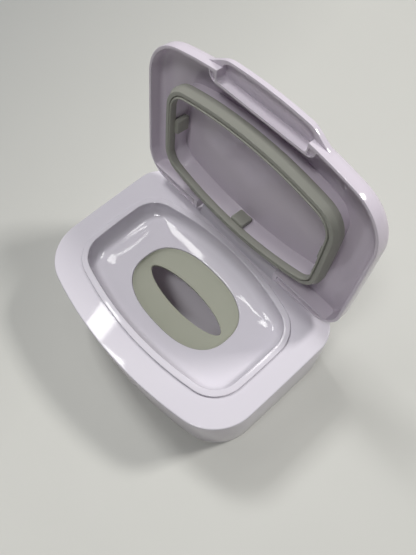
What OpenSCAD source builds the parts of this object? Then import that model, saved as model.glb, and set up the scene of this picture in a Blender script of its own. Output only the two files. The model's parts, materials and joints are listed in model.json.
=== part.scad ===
// Wipes dispenser for a changing table: a tapered tub, a lift-off cover with a
// dished well and a soft slotted insert, and a domed lid that swings on two pins
// and closes a soft seal into the well.
// The origin is on the table under the middle of the body. +X runs to the right
// end, +Y to the hinge side and +Z up. The lid is drawn open.

/* [Body outline] */
// Length of the body from end to end
body_w = 190; // [176:0.5:210]
// Depth of the body from the front to the hinge side
body_d = 128.7; // [122:0.1:140]
// Height of the cover's flat rim above the table
rim_h = 63; // [50:0.5:90]
// Radius of the bowed front face
front_bow_r = 300; // [260:5:500]
// Radius of the nearly straight hinge-side face
back_bow_r = 3200; // [2000:100:5000]
// Radius of the nearly straight end faces
end_bow_r = 3200; // [2000:100:5000]
// Radius of the two front corners in plan
front_corner_r = 34.6; // [28:0.2:40]
// Radius of the two hinge-side corners in plan
back_corner_r = 22; // [17:0.5:28]

/* [Tub] */
// Wall thickness of the tub
tub_wall = 2.2; // [1.6:0.1:3]
// Floor thickness of the tub
tub_floor = 2.6; // [2.2:0.1:4]
// How far the wall leans in from the seam to the floor
tub_draft = 2; // [0:0.1:5]
// Radius between the wall and the underside
tub_base_r = 4; // [3:0.5:8]
// Depth of the shallow panel recessed into the underside
panel_recess = 0.6; // [0.3:0.1:1]
// Width of the plain border round that panel
panel_border = 12; // [8:1:16]

/* [Feet] */
// Radius of each rubber foot
foot_r = 6; // [4:0.5:8]
// How far a foot stands out of the underside
foot_proud = 0.8; // [0.6:0.1:2]
// How deep a foot is let into the floor
foot_seat = 1.4; // [1.2:0.1:1.6]
// Distance of the feet from the front and hinge-side faces
foot_from_face = 28.5; // [26:0.5:34]
// Distance of the feet from the end faces
foot_from_end = 32; // [29:0.5:40]
// Bevel round the foot's tread
foot_bevel = 0.4; // [0.2:0.1:0.6]

/* [Cover] */
// Thickness of the cover's skin
cover_skin = 2.2; // [1.8:0.1:2.8]
// Rounding of the rim's outer edge
cover_edge_r = 1; // [0.5:0.1:1.4]
// Gap at the seam between the cover and the tub
seam_gap = 0.3; // [0.2:0.05:0.6]
// Depth of the plug wall that goes down inside the tub
plug_depth = 7; // [4:0.5:10]
// Thickness of the plug wall
plug_wall = 1.6; // [1.2:0.1:2.4]
// Gap between the plug wall and the tub
plug_gap = 0.35; // [0.3:0.05:0.6]

/* [Bead and well] */
// Length over the raised bead
bead_w = 156.6; // [150:0.2:160]
// Depth over the raised bead
bead_d = 98.2; // [94:0.2:100]
// How far the bead and the well sit towards the hinge
well_shift = 3; // [1:0.1:3.4]
// Width of the bead
bead_t = 4.7; // [4:0.1:5.5]
// Height of the bead above the rim
bead_h = 1.8; // [1:0.1:2.4]
// Rounding of the bead's two edges
bead_edge_r = 0.7; // [0.3:0.1:0.9]
// Radius of the bead's bowed front
bead_front_r = 260; // [240:5:400]
// Radius of the bead's bowed hinge side
bead_back_r = 215; // [200:5:400]
// Radius of the bead's bowed ends
bead_end_r = 600; // [400:10:1000]
// Corner radius of the bead
bead_corner_r = 25; // [22:0.5:28]
// Depth of the well below the rim
well_depth = 12.5; // [11:0.1:15]
// Run of the well's steep side before the floor flattens
well_side_run = 4.2; // [3.5:0.1:5]

/* [Insert opening] */
// Length of the oval opening in the well
hole_w = 89; // [82:0.5:94]
// Width of the oval opening in the well
hole_d = 56.6; // [52:0.2:60]
// Height of the collar under the opening
collar_h = 6; // [5:0.1:8]
// Thickness of the collar
collar_t = 1.8; // [1.4:0.1:2.2]
// Rounding of the opening's edge
hole_edge_r = 0.8; // [0.4:0.1:1]

/* [Insert] */
// Length of the slot that the wipes come through
slot_w = 74; // [60:0.2:76]
// Width of the slot at its middle
slot_d = 19.2; // [14:0.2:24]
// Depth of the slot's lips below the opening's edge
funnel_depth = 5.2; // [4:0.1:6.5]
// How far the soft surface starts below the opening's edge
insert_step = 0.9; // [0.5:0.1:1.4]
// Thickness of the soft sheet
insert_t = 2; // [1.6:0.1:2.4]
// Thickness of the soft hook round the collar
hook_t = 1.5; // [1.2:0.1:2]
// Height of the hook's outer side above the collar's foot
hook_h = 3; // [2:0.1:3.4]
// Gap between soft and hard parts where they are pressed together
soft_gap = 0.1; // [0.05:0.01:0.2]

/* [Hinge] */
// Angle between the open lid and the closed lid
lid_open = 99.7; // [0:0.1:100]
// Distance of the hinge line in front of the hinge-side face
hinge_from_back = 4.6; // [4.4:0.05:4.9]
// Height of the hinge line above the rim
hinge_rise = 9.9; // [9.8:0.05:10.3]
// Length of the hinge block
block_w = 77; // [60:0.5:90]
// Radius of the hinge block's rounded top
knuckle_r = 3; // [2.7:0.05:3.1]
// Depth of the hinge block at its foot, in front of the hinge line
block_front = 6.9; // [5:0.1:7]
// Radius of the hinge pins
pin_r = 1.2; // [0.9:0.05:1.4]
// Length of each hinge pin
pin_length = 14; // [10:0.5:16]
// Bevel on the pin's ends
pin_bevel = 0.3; // [0.1:0.05:0.4]
// Length of pin that reaches out of the block
pin_reach = 4.2; // [4:0.1:5]
// Radial clearance of a pin in the block
pin_seat_gap = 0.02; // [0.01:0.01:0.05]
// Radial clearance of a pin in the lid
pin_run_gap = 0.06; // [0.03:0.01:0.1]
// Gap between the block's ends and the lid
block_gap = 0.4; // [0.3:0.05:0.8]

/* [Lid] */
// Wall thickness of the lid
lid_wall = 2; // [1.6:0.1:2.2]
// How far the lid's face is set in from the cover's edge
lid_inset = 2; // [1.6:0.1:2.4]
// Gap under the closed lid's edge
lid_gap = 0.8; // [0.7:0.05:1.2]
// Height of the lid's shoulder above the rim
lid_shoulder = 12.8; // [12.6:0.1:13.6]
// Height of the dome above the shoulder
lid_crown = 4; // [2:0.1:6]
// Rounding between the lid's front and its top
lid_front_r = 7; // [5:0.1:9]
// Rounding between the lid's ends and its top
lid_end_r = 5; // [4:0.1:7]
// Rounding between the lid's hinge side and its top
lid_back_r = 4; // [3.6:0.1:4.4]
// Distance of the back inner wall in front of the hinge line
back_wall_front = 5.2; // [5:0.1:5.4]
// Thickness of the back inner wall
back_wall_t = 1.5; // [1.2:0.1:1.6]
// Thickness of the lugs that hold the pins
lug_t = 3; // [2.6:0.1:3.4]
// Edge of the notch for the hinge block, in front of the hinge line
notch_front = 3.8; // [3.7:0.05:4]

/* [Lift tab] */
// How far the tab stands out of the lid's front
tab_reach = 6; // [5:0.1:8]
// Length of the tab where it leaves the lid
tab_root_w = 96; // [90:0.5:100]
// Length of the tab's straight front
tab_tip_w = 58; // [50:0.5:62]
// Wall thickness of the tab
tab_wall = 1.8; // [1.4:0.1:2.2]
// Height of the tab's lower edge above the rim
tab_low = 5; // [3:0.1:6]
// Height of the tab's top above the rim
tab_top = 10.2; // [9.8:0.1:10.6]
// Rounding of the tab's top edge
tab_edge_r = 3; // [2:0.1:3.4]
// Height of the finger pocket's roof above the rim
pocket_roof = 8.2; // [6.5:0.1:8.3]
// Length of the finger pocket
pocket_w = 68.4; // [62:0.2:72]
// Depth of the finger pocket behind the lid's front face
pocket_depth = 8.8; // [7:0.1:10]
// Corner radius of the finger pocket
pocket_corner_r = 2; // [1:0.1:3]
// Radius of the hollow cell outside each end of the pocket
cell_r = 6; // [5:0.1:7]
// Thickness of the cell's walls
cell_wall = 1; // [0.8:0.1:1.4]
// Depth of the cell above the lid's edge
cell_depth = 6; // [3:0.1:7]

/* [Seal] */
// How much the seal falls short of the bead's shape at each end
seal_end_short = 1; // [0.8:0.1:2]
// Corner radius of the seal at the front
seal_front_corner_r = 26; // [25:0.5:32]
// Corner radius of the seal at the hinge side
seal_back_corner_r = 23.5; // [23:0.5:28]
// Wall thickness of the rim inside the lid that carries the seal
boss_wall = 1.8; // [1.4:0.1:2.2]
// Depth of that rim's edge below the cover's flat rim
boss_drop = 2.3; // [1.8:0.1:3.2]
// Gap between the seal's upper edge and the bead
seal_gap = 0.6; // [0.5:0.05:1]
// How far the seal's lower lip is drawn in from its upper edge
seal_draw = 1.7; // [1.2:0.1:2]
// Thickness of the seal's outer wall at the lip
seal_t = 1.7; // [1.3:0.1:2]
// Thickness of the seal under the rim
seal_foot = 1.4; // [1:0.1:1.8]
// Height of the seal's outer wall above the cover's flat rim
seal_rise = 4.3; // [4.2:0.1:5]
// Thickness of the seal's inner wrap
wrap_t = 1.3; // [1:0.1:1.8]
// Height of the seal's inner wrap
wrap_h = 4.6; // [3.4:0.1:4.8]
// Depth of the fine groove round the seal's foot
seal_groove = 0.35; // [0.2:0.05:0.5]
// Length of the plugs that lock the seal to the lid
plug_head_w = 11; // [9:0.1:14]
// Height of the plugs' heads above the inner wrap
plug_head_h = 9.6; // [8:0.1:10.2]
// Thickness of the plugs' heads
plug_head_t = 4; // [3:0.1:5]
// How much a plug's neck is smaller than its head at each side
plug_neck_step = 0.8; // [0.5:0.1:1.2]
// Height of a plug's neck
plug_neck_h = 2.4; // [1.8:0.1:2.4]

/* [Hidden] */
$fn = 64;

// Steps along the long faces, round the corners and along the ends
long_steps = 5;
corner_steps = 7;
end_steps = 3;
// Shape of the oval opening, from 1 for an ellipse down to 0 for a rectangle
oval_share = 0.813;
// Shape of the slot's ends, from 1 for an ellipse up to 2 for sharp points
slot_share = 1.1;
// How much of the tab's rounding carries on where it runs into the lid
tab_root_share = 0.66;
// How far the cuts run past what they cut
overrun = 1;
// How far joined pieces are sunk into one another
sunk = 1;

hinge_y = body_d / 2 - hinge_from_back;
hinge_z = rim_h + hinge_rise;
seam_z = rim_h - cover_skin;
tub_top = seam_z - seam_gap;
well_z = rim_h - well_depth;
lid_low = rim_h + lid_gap;
lid_top = rim_h + lid_shoulder;

// Offsets of the seal and its rim, measured in from the seal's guiding outline
seal_out = bead_t + seal_gap;
seal_lip = seal_out + seal_draw;
boss_out = seal_lip + seal_t + soft_gap;
boss_in = boss_out + boss_wall;
wrap_in = boss_in + soft_gap + wrap_t;
boss_low = rim_h - boss_drop;
seal_low = boss_low - soft_gap - seal_foot;
seal_top = rim_h + seal_rise;
wrap_top = seal_low + wrap_h;
neck_low = wrap_top + plug_neck_step;

// Outlines made of arcs that meet smoothly

// The centre of a corner arc that touches two larger arcs from inside
function corner_centre(c1, r1, c2, r2, side) =
    let (gap = norm(c2 - c1),
         along = (r1 * r1 - r2 * r2 + gap * gap) / (2 * gap),
         across = sqrt(max(0, r1 * r1 - along * along)),
         u = (c2 - c1) / gap)
    c1 + along * u + side * across * [-u[1], u[0]];

// A point of an arc with its outward direction
function arc_point(c, r, a) = [c[0] + r * cos(a), c[1] + r * sin(a), cos(a), sin(a)];

function slope(c, p) = atan2(p[1] - c[1], p[0] - c[0]);

function mirrored(p) = [-p[0], p[1], -p[2], p[3]];

// A rectangle with bowed sides and two sizes of corner, from the front's middle round
function bowed(w, d, shift, front_r, back_r, end_r, front_c, back_c) =
    let (cf = [0, front_r - d / 2],
         cb = [0, d / 2 - back_r],
         ce = [w / 2 - end_r, 0],
         c1 = corner_centre(cf, front_r - front_c, ce, end_r - front_c, 1),
         c2 = corner_centre(cb, back_r - back_c, ce, end_r - back_c, -1),
         a1 = slope(cf, c1),
         a2 = slope(ce, c1),
         a3 = slope(ce, c2),
         a4 = slope(cb, c2),
         half = concat(
             [for (i = [0 : long_steps - 1]) arc_point(cf, front_r, -90 + (a1 + 90) * i / long_steps)],
             [for (i = [0 : corner_steps - 1]) arc_point(c1, front_c, a1 + (a2 - a1) * i / corner_steps)],
             [for (i = [0 : end_steps - 1]) arc_point(ce, end_r, a2 + (a3 - a2) * i / end_steps)],
             [for (i = [0 : corner_steps - 1]) arc_point(c2, back_c, a3 + (a4 - a3) * i / corner_steps)],
             [for (i = [0 : long_steps]) arc_point(cb, back_r, a4 + (90 - a4) * i / long_steps)]),
         whole = concat(half, [for (i = [len(half) - 2 : -1 : 1]) mirrored(half[i])]))
    [for (p = whole) [p[0], p[1] + shift, p[2], p[3]]];

body = bowed(body_w, body_d, 0, front_bow_r, back_bow_r, end_bow_r, front_corner_r, back_corner_r);
bead = bowed(bead_w, bead_d, well_shift, bead_front_r, bead_back_r, bead_end_r,
             bead_corner_r, bead_corner_r);
seal_w = bead_w - 2 * seal_end_short;
guide = bowed(seal_w, bead_d, well_shift, bead_front_r, bead_back_r, bead_end_r,
              seal_front_corner_r, seal_back_corner_r);

// A level ring, drawn in from an outline
function ring(outline, inset, z) =
    [for (p = outline) [p[0] - inset * p[2], p[1] - inset * p[3], z]];

function flat(outline, inset) =
    [for (p = outline) [p[0] - inset * p[2], p[1] - inset * p[3]]];

// The turn of each point round the well, used for the oval and the slot
turns = [for (p = bead) atan2((p[1] - well_shift) / bead_d, p[0] / bead_w)];

function signed_power(v, e) = sign(v) * pow(abs(v), e);

function oval(grow, z) =
    [for (t = turns) [(hole_w / 2 + grow) * signed_power(cos(t), oval_share),
                      well_shift + (hole_d / 2 + grow) * signed_power(sin(t), oval_share), z]];

function slot(grow, z) =
    [for (t = turns) [(slot_w / 2 + grow) * cos(t),
                      well_shift + (slot_d / 2 + grow) * signed_power(sin(t), slot_share), z]];

// A level ring part of the way from one ring to another
function between(a, b, share, z) =
    [for (i = [0 : len(a) - 1]) [a[i][0] + (b[i][0] - a[i][0]) * share,
                                 a[i][1] + (b[i][1] - a[i][1]) * share, z]];

// Skins a row of rings. The ends are closed level, or domed to their middle point,
// or the last ring joins the first.
module skin(rings, closed = false, domed = false) {
    n = len(rings[0]);
    m = len(rings);
    bands = closed ? m : m - 1;
    sides = [for (k = [0 : bands - 1]) for (i = [0 : n - 1])
        let (k2 = (k + 1) % m, i2 = (i + 1) % n,
             a = k * n + i, b = k2 * n + i, c = k2 * n + i2, d = k * n + i2)
        each [[a, b, c], [a, c, d]]];
    middles = domed ? [middle(rings[0]), middle(rings[m - 1])] : [];
    ends = closed ? []
        : domed ? concat([for (i = [0 : n - 1]) [m * n, i, (i + 1) % n]],
                         [for (i = [0 : n - 1]) [m * n + 1, (m - 1) * n + (i + 1) % n, (m - 1) * n + i]])
        : [[for (i = [0 : n - 1]) i], [for (i = [n - 1 : -1 : 0]) (m - 1) * n + i]];
    polyhedron(points = concat([for (r = rings) each r], middles), faces = concat(sides, ends));
}

function middle(r, i = 0) = i == len(r) - 1 ? r[i] / len(r) : r[i] / len(r) + middle(r, i + 1);

// The tub

base_edge_turns = [0, 30, 60, 90];

function tub_lean(z) = tub_draft * (tub_top - z) / (tub_top - foot_proud);

module container() {
    color("gainsboro")
    difference() {
        skin(concat(
            [for (a = base_edge_turns)
                let (z = foot_proud + tub_base_r * (1 - cos(a)))
                ring(body, tub_lean(z) + tub_base_r * (1 - sin(a)), z)],
            [ring(body, 0, tub_top), ring(body, tub_wall, tub_top)],
            [for (a = [90, 60, 30, 0])
                let (r = tub_base_r - tub_wall / 2,
                     z = foot_proud + tub_floor + r * (1 - cos(a)))
                ring(body, tub_wall + tub_lean(z) + r * (1 - sin(a)), z)]));
        for (x = [-1, 1], y = [-1, 1])
            foot_place(x, y)
                cylinder(h = 2 * foot_seat, r = foot_r + soft_gap, center = true);
        translate([0, 0, foot_proud - overrun])
            linear_extrude(panel_recess + overrun)
                polygon(flat(body, tub_draft + panel_border));
    }
}

// The four feet

module foot_place(x, y) {
    translate([x * (body_w / 2 - foot_from_end), y * (body_d / 2 - foot_from_face), foot_proud])
        children();
}

module rubber_foot(x, y) {
    color("dimgray")
    foot_place(x, y)
        rotate_extrude()
            polygon([[0, -foot_proud], [foot_r - foot_bevel, -foot_proud],
                     [foot_r, foot_bevel - foot_proud], [foot_r, foot_seat - soft_gap],
                     [0, foot_seat - soft_gap]]);
}

module foot_front_left() { rubber_foot(-1, -1); }
module foot_front_right() { rubber_foot(1, -1); }
module foot_back_left() { rubber_foot(-1, 1); }
module foot_back_right() { rubber_foot(1, 1); }

// The cover: rim, bead, dished well, collar and plug wall as one skin, and the
// hinge block on top

// Steps down the well: share of the side's run and share of the depth
side_run_shares = [0.08, 0.26, 0.55, 1];
side_depth_shares = [0.16, 0.36, 0.54, 0.68];
// Steps across the well's floor: share of the way to the opening and of the depth
floor_way_shares = [0.25, 0.5, 0.75];
floor_depth_shares = [0.79, 0.88, 0.95];

module cover() {
    in = bead_t + well_side_run;
    foot = ring(bead, in, well_z);
    plug_out = tub_wall + plug_gap;
    color("whitesmoke")
    difference() {
        union() {
            skin(concat(
                [ring(body, 0, seam_z),
                 ring(body, 0, rim_h - cover_edge_r),
                 ring(body, cover_edge_r * (1 - cos(45)), rim_h - cover_edge_r * (1 - sin(45))),
                 ring(body, cover_edge_r, rim_h),
                 ring(bead, 0, rim_h),
                 ring(bead, bead_edge_r, rim_h + bead_h - bead_edge_r * (1 - sin(45))),
                 ring(bead, 2 * bead_edge_r, rim_h + bead_h),
                 ring(bead, bead_t - bead_edge_r, rim_h + bead_h),
                 ring(bead, bead_t, rim_h + bead_h - bead_edge_r)],
                [for (i = [0 : len(side_run_shares) - 1])
                    ring(bead, bead_t + well_side_run * side_run_shares[i],
                         rim_h - well_depth * side_depth_shares[i])],
                [for (i = [0 : len(floor_way_shares) - 1])
                    between(foot, oval(0, 0), floor_way_shares[i],
                            rim_h - well_depth * floor_depth_shares[i])],
                [oval(hole_edge_r, well_z),
                 oval(hole_edge_r * (1 - sin(45)), well_z - hole_edge_r * (1 - cos(45))),
                 oval(0, well_z - hole_edge_r),
                 oval(0, well_z - collar_h),
                 oval(collar_t, well_z - collar_h),
                 oval(collar_t, well_z - cover_skin)],
                [for (i = [2, 1, 0])
                    between(foot, oval(0, 0), floor_way_shares[i],
                            rim_h - well_depth * floor_depth_shares[i] - cover_skin)],
                [ring(bead, in - cover_skin / 2,
                      rim_h - well_depth * side_depth_shares[3] - cover_skin / 2),
                 ring(bead, bead_t + well_side_run * side_run_shares[1] - cover_skin,
                      rim_h - well_depth * side_depth_shares[1]),
                 ring(bead, bead_t - cover_skin, seam_z),
                 ring(body, plug_out + plug_wall, seam_z),
                 ring(body, plug_out + plug_wall, seam_z - plug_depth),
                 ring(body, plug_out, seam_z - plug_depth),
                 ring(body, plug_out, seam_z)]), closed = true);
            hinge_block();
        }
        for (x = [-1, 1])
            pin_place(x)
                cylinder(h = 2 * pin_length, r = pin_r + pin_seat_gap, center = true);
    }
}

// The block stands on the rim and narrows to a rounded top round the hinge line
module hinge_block() {
    reach = norm([block_front, hinge_rise]);
    lean = atan2(hinge_rise, block_front) - acos(knuckle_r / reach);
    translate([-block_w / 2, hinge_y, rim_h])
        rotate([90, 0, 90])
            linear_extrude(block_w)
                union() {
                    translate([0, hinge_rise]) circle(r = knuckle_r);
                    polygon([[-block_front, -sunk],
                             [-block_front, 0],
                             [-knuckle_r * cos(lean), hinge_rise + knuckle_r * sin(lean)],
                             [0, hinge_rise],
                             [knuckle_r, hinge_rise],
                             [knuckle_r, -sunk]]);
                }
}

// The two pins

module pin_place(x) {
    translate([x * (block_w / 2 + pin_reach - pin_length / 2), hinge_y, hinge_z])
        rotate([0, 90, 0])
            children();
}

module hinge_pin(x) {
    half = pin_length / 2;
    color("silver")
    pin_place(x)
        rotate_extrude()
            polygon([[0, -half], [pin_r - pin_bevel, -half], [pin_r, pin_bevel - half],
                     [pin_r, half - pin_bevel], [pin_r - pin_bevel, half], [0, half]]);
}

module hinge_pin_left() { hinge_pin(-1); }
module hinge_pin_right() { hinge_pin(1); }

// The soft insert: a funnel from the opening to the slot, hooked round the collar

funnel_way_shares = [0.16, 0.4, 0.7, 0.93];
funnel_depth_shares = [0.28, 0.56, 0.8, 0.94];

module dispensing_insert() {
    top = well_z - insert_step;
    low = well_z - funnel_depth;
    fall = top - low;
    collar_foot = well_z - collar_h;
    color("darkkhaki")
    skin(concat(
        [oval(-soft_gap, collar_foot - soft_gap),
         oval(-soft_gap, top)],
        [for (i = [0 : 3])
            between(oval(-soft_gap, 0), slot(0, 0), funnel_way_shares[i],
                    top - fall * funnel_depth_shares[i])],
        [slot(insert_t / 6, low),
         slot(0, low - insert_t / 4),
         slot(0, low - insert_t * 3 / 4),
         slot(insert_t / 6, low - insert_t)],
        [for (i = [2, 1])
            between(oval(-soft_gap, 0), slot(0, 0), funnel_way_shares[i],
                    top - fall * funnel_depth_shares[i] - insert_t)],
        [between(oval(-soft_gap - hook_t, 0), slot(0, 0), funnel_way_shares[0],
                 top - fall * funnel_depth_shares[0] - insert_t),
         oval(-soft_gap - hook_t, collar_foot - soft_gap - hook_t / 2),
         oval(-soft_gap - hook_t / 2, collar_foot - soft_gap - hook_t),
         oval(collar_t + soft_gap + hook_t / 2, collar_foot - soft_gap - hook_t),
         oval(collar_t + soft_gap + hook_t, collar_foot - soft_gap - hook_t / 2),
         oval(collar_t + soft_gap + hook_t, collar_foot + hook_h),
         oval(collar_t + soft_gap, collar_foot + hook_h),
         oval(collar_t + soft_gap, collar_foot - soft_gap)]), closed = true);
}

// The lid, worked out closed and then swung open about the hinge line

module swung() {
    translate([0, hinge_y, hinge_z])
        rotate([-lid_open, 0, 0])
            translate([0, -hinge_y, -hinge_z])
                children();
}

// Rise of the dome over the shoulder, nothing at the edges and most in the middle
function rise(x, y) =
    lid_crown * (1 - pow(2 * x / body_w, 2)) * (1 - pow(2 * y / body_d, 2));

// The rounding at a point of the outline, eased from the ends to the front or back
function edge_r(p) =
    lid_end_r + ((p[3] < 0 ? lid_front_r : lid_back_r) - lid_end_r) * p[3] * p[3];

// A ring round the lid's edge at one turn of its rounding, some way into the wall
function edge_ring(depth, a) =
    [for (p = body)
        let (r = edge_r(p) - depth, s = lid_inset + depth + r * (1 - cos(a)),
             x = p[0] - s * p[2], y = p[1] - s * p[3])
        [x, y, lid_top - depth - r * (1 - sin(a)) + sin(a) * rise(x, y)]];

// A ring on the dome, shrunk towards the middle
function dome_ring(depth, share) =
    [for (p = body)
        let (s = lid_inset + edge_r(p), x = (p[0] - s * p[2]) * share, y = (p[1] - s * p[3]) * share)
        [x, y, lid_top - depth + rise(x, y)]];

edge_turns = [0, 30, 60, 90];
dome_shares = [0.8, 0.55, 0.25];

module lid_shell() {
    skin(concat(
        [for (i = [2, 1, 0]) dome_ring(lid_wall, dome_shares[i])],
        [for (i = [3, 2, 1, 0]) edge_ring(lid_wall, edge_turns[i])],
        [ring(body, lid_inset + lid_wall, lid_low), ring(body, lid_inset, lid_low)],
        [for (a = edge_turns) edge_ring(0, a)],
        [for (s = dome_shares) dome_ring(0, s)]), domed = true);
}

// The room under the lid out to the middle of its wall, which bounds the inner walls
module lid_room() {
    skin(concat(
        [ring(body, lid_inset + lid_wall / 2, boss_low)],
        [for (a = edge_turns) edge_ring(lid_wall / 2, a)],
        [for (s = dome_shares) dome_ring(lid_wall / 2, s)]), domed = true);
}

// The front face of the lid, and the line of the tab's edge in front of it
function lid_front(x) = front_bow_r - body_d / 2 - sqrt(pow(front_bow_r - lid_inset, 2) - x * x);

function eased(v) = v <= 0 ? 0 : v >= 1 ? 1 : v * v * (3 - 2 * v);

function tab_line(x, inset) =
    let (start = lid_wall / 8 + inset * tab_root_share,
         way = (tab_root_w / 2 - inset - abs(x)) * 2 / (tab_root_w - tab_tip_w))
    lid_front(x) + start - (tab_reach + start - inset) * eased(way);

tab_steps = 18;

function tab_ring(inset, z) =
    let (w = tab_root_w / 2 - inset, xs = [for (i = [0 : tab_steps]) w * (2 * i / tab_steps - 1)])
    concat([for (x = xs) [x, tab_line(x, inset), z]],
           [for (x = xs) [-x, lid_front(x) + lid_wall * 3 / 4 + inset * tab_root_share, z]]);

// The finger pocket in plan, out to the tab's wall, or with its own walls added
function pocket_plan(grow) =
    let (w = pocket_w / 2 + grow,
         r = pocket_corner_r + grow, cx = pocket_w / 2 - pocket_corner_r,
         cy = lid_front(0) + pocket_depth - pocket_corner_r)
    concat([for (i = [0 : tab_steps])
                let (x = w * (2 * i / tab_steps - 1))
                [x, grow > 0 ? lid_front(x) + lid_wall / 4 : tab_line(x, tab_wall)]],
           [for (a = [0, 45, 90]) [cx + r * cos(a), cy + r * sin(a)]],
           [for (a = [90, 135, 180]) [r * cos(a) - cx, cy + r * sin(a)]]);

// The cell outside the pocket's right end in plan, drawn in by its wall or not
function cell_plan(inset) =
    let (x0 = pocket_w / 2 + inset, r = cell_r - 2 * inset, joint = sunk * (1 - sign(inset)),
         cy = lid_front(0) + pocket_depth + tab_wall - inset - r,
         y0 = lid_front(pocket_w / 2 + cell_r) + lid_wall - joint)
    concat([[x0 - joint, y0], [x0 + r, y0]],
           [for (a = [0 : 15 : 90]) [x0 + r * cos(a), cy + r * sin(a)]],
           [[x0 - joint, cy + r]]);

// The height of the closed lid's highest point above its edge
lid_height = lid_top + lid_crown - lid_low;

// Where the hinge-side inner wall meets the inside of the lid's rounded corner
back_corner = corner_centre([0, body_d / 2 - back_bow_r], back_bow_r - back_corner_r,
                            [body_w / 2 - end_bow_r, 0], end_bow_r - back_corner_r, -1);

module inner_walls() {
    wall_y = hinge_y - back_wall_front;
    wall_r = back_corner_r - lid_inset - lid_wall / 2;
    wall_x = back_corner[0] + sqrt(pow(wall_r, 2) - pow(wall_y - back_corner[1], 2));
    lug_in = block_w / 2 + block_gap;
    translate([-pocket_w / 2, lid_front(0) + pocket_depth, lid_low])
        cube([pocket_w, tab_wall, lid_height]);
    for (x = [0, 1])
        mirror([x, 0, 0]) {
            translate([0, 0, lid_low])
                linear_extrude(lid_height)
                    polygon(cell_plan(0));
            translate([lug_in, wall_y, lid_low]) {
                cube([wall_x - lug_in, back_wall_t, lid_height]);
                cube([lug_t, body_d / 2 - lid_inset - wall_y, lid_height]);
            }
        }
}

module lid() {
    lug_in = block_w / 2 + block_gap;
    color("white")
    swung()
    difference() {
        union() {
            lid_shell();
            skin([tab_ring(0, rim_h + tab_low),
                  tab_ring(0, rim_h + tab_top - tab_edge_r),
                  tab_ring(tab_edge_r * (1 - cos(45)), rim_h + tab_top - tab_edge_r * (1 - sin(45))),
                  tab_ring(tab_edge_r, rim_h + tab_top)]);
            translate([0, 0, lid_low])
                linear_extrude(rim_h + pocket_roof + tab_wall - lid_low)
                    polygon(pocket_plan(tab_wall));
            intersection() {
                lid_room();
                union() {
                    inner_walls();
                    seal_rim();
                }
            }
        }
        translate([0, 0, lid_low - overrun])
            linear_extrude(rim_h + pocket_roof - lid_low + overrun)
                polygon(pocket_plan(0));
        for (x = [0, 1])
            mirror([x, 0, 0])
                translate([0, 0, lid_low - overrun])
                    linear_extrude(cell_depth + overrun)
                        polygon(cell_plan(cell_wall));
        translate([-lug_in, hinge_y - notch_front, rim_h])
            cube([2 * lug_in, body_d, lid_shoulder + lid_crown]);
        for (x = [-1, 1])
            pin_place(x)
                cylinder(h = 2 * pin_length, r = pin_r + pin_run_gap, center = true);
    }
}

// The rim inside the lid that carries the seal, with a window for each plug
module seal_rim() {
    difference() {
        skin([ring(guide, boss_out, boss_low), ring(guide, boss_out, lid_top + lid_crown),
              ring(guide, boss_in, lid_top + lid_crown), ring(guide, boss_in, boss_low)], closed = true);
        plugs(plug_head_w / 2 - plug_neck_step + soft_gap, neck_low - soft_gap,
              neck_low + plug_neck_h + soft_gap, seal_lip, wrap_in);
    }
}

// Blocks at the middle of each side, between two levels and two offsets from the outline
module plugs(half_w, low, high, out, in) {
    for (x = [-1, 1])
        translate([x * (seal_w / 2 - (out + in) / 2), well_shift, (low + high) / 2])
            cube([in - out, 2 * half_w, high - low], center = true);
    for (y = [-1, 1])
        translate([0, well_shift + y * (bead_d / 2 - (out + in) / 2), (low + high) / 2])
            cube([2 * half_w, in - out, high - low], center = true);
}

// The soft seal: a channel pressed over the rim, with a lip that goes into the well

module lid_seal() {
    round = seal_foot / 2;
    groove_at = wrap_in - (wrap_in - seal_lip) / 4;
    color("darkkhaki")
    swung()
    union() {
        skin([ring(guide, seal_lip, seal_low + round),
              ring(guide, seal_out, rim_h),
              ring(guide, seal_out, seal_top - round),
              ring(guide, seal_out + round, seal_top),
              ring(guide, boss_out - soft_gap, seal_top),
              ring(guide, boss_out - soft_gap, boss_low - soft_gap),
              ring(guide, boss_in + soft_gap, boss_low - soft_gap),
              ring(guide, boss_in + soft_gap, wrap_top),
              ring(guide, wrap_in, wrap_top),
              ring(guide, wrap_in, seal_low + round / 2),
              ring(guide, wrap_in - round / 2, seal_low),
              ring(guide, groove_at + seal_groove, seal_low),
              ring(guide, groove_at, seal_low + seal_groove),
              ring(guide, groove_at - seal_groove, seal_low),
              ring(guide, seal_lip + round, seal_low)], closed = true);
        plugs(plug_head_w / 2 - plug_neck_step, neck_low, neck_low + plug_neck_h,
              boss_out - seal_t, boss_in + plug_head_t / 2);
        plugs(plug_head_w / 2, wrap_top - plug_neck_step, wrap_top + plug_head_h,
              boss_in + soft_gap, boss_in + soft_gap + plug_head_t);
    }
}

container();
cover();
dispensing_insert();
lid();
lid_seal();
hinge_pin_left();
hinge_pin_right();
foot_front_left();
foot_front_right();
foot_back_left();
foot_back_right();
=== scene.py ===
import json
import math

import bmesh
import bpy
import numpy as np
from mathutils import Matrix, Vector

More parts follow.
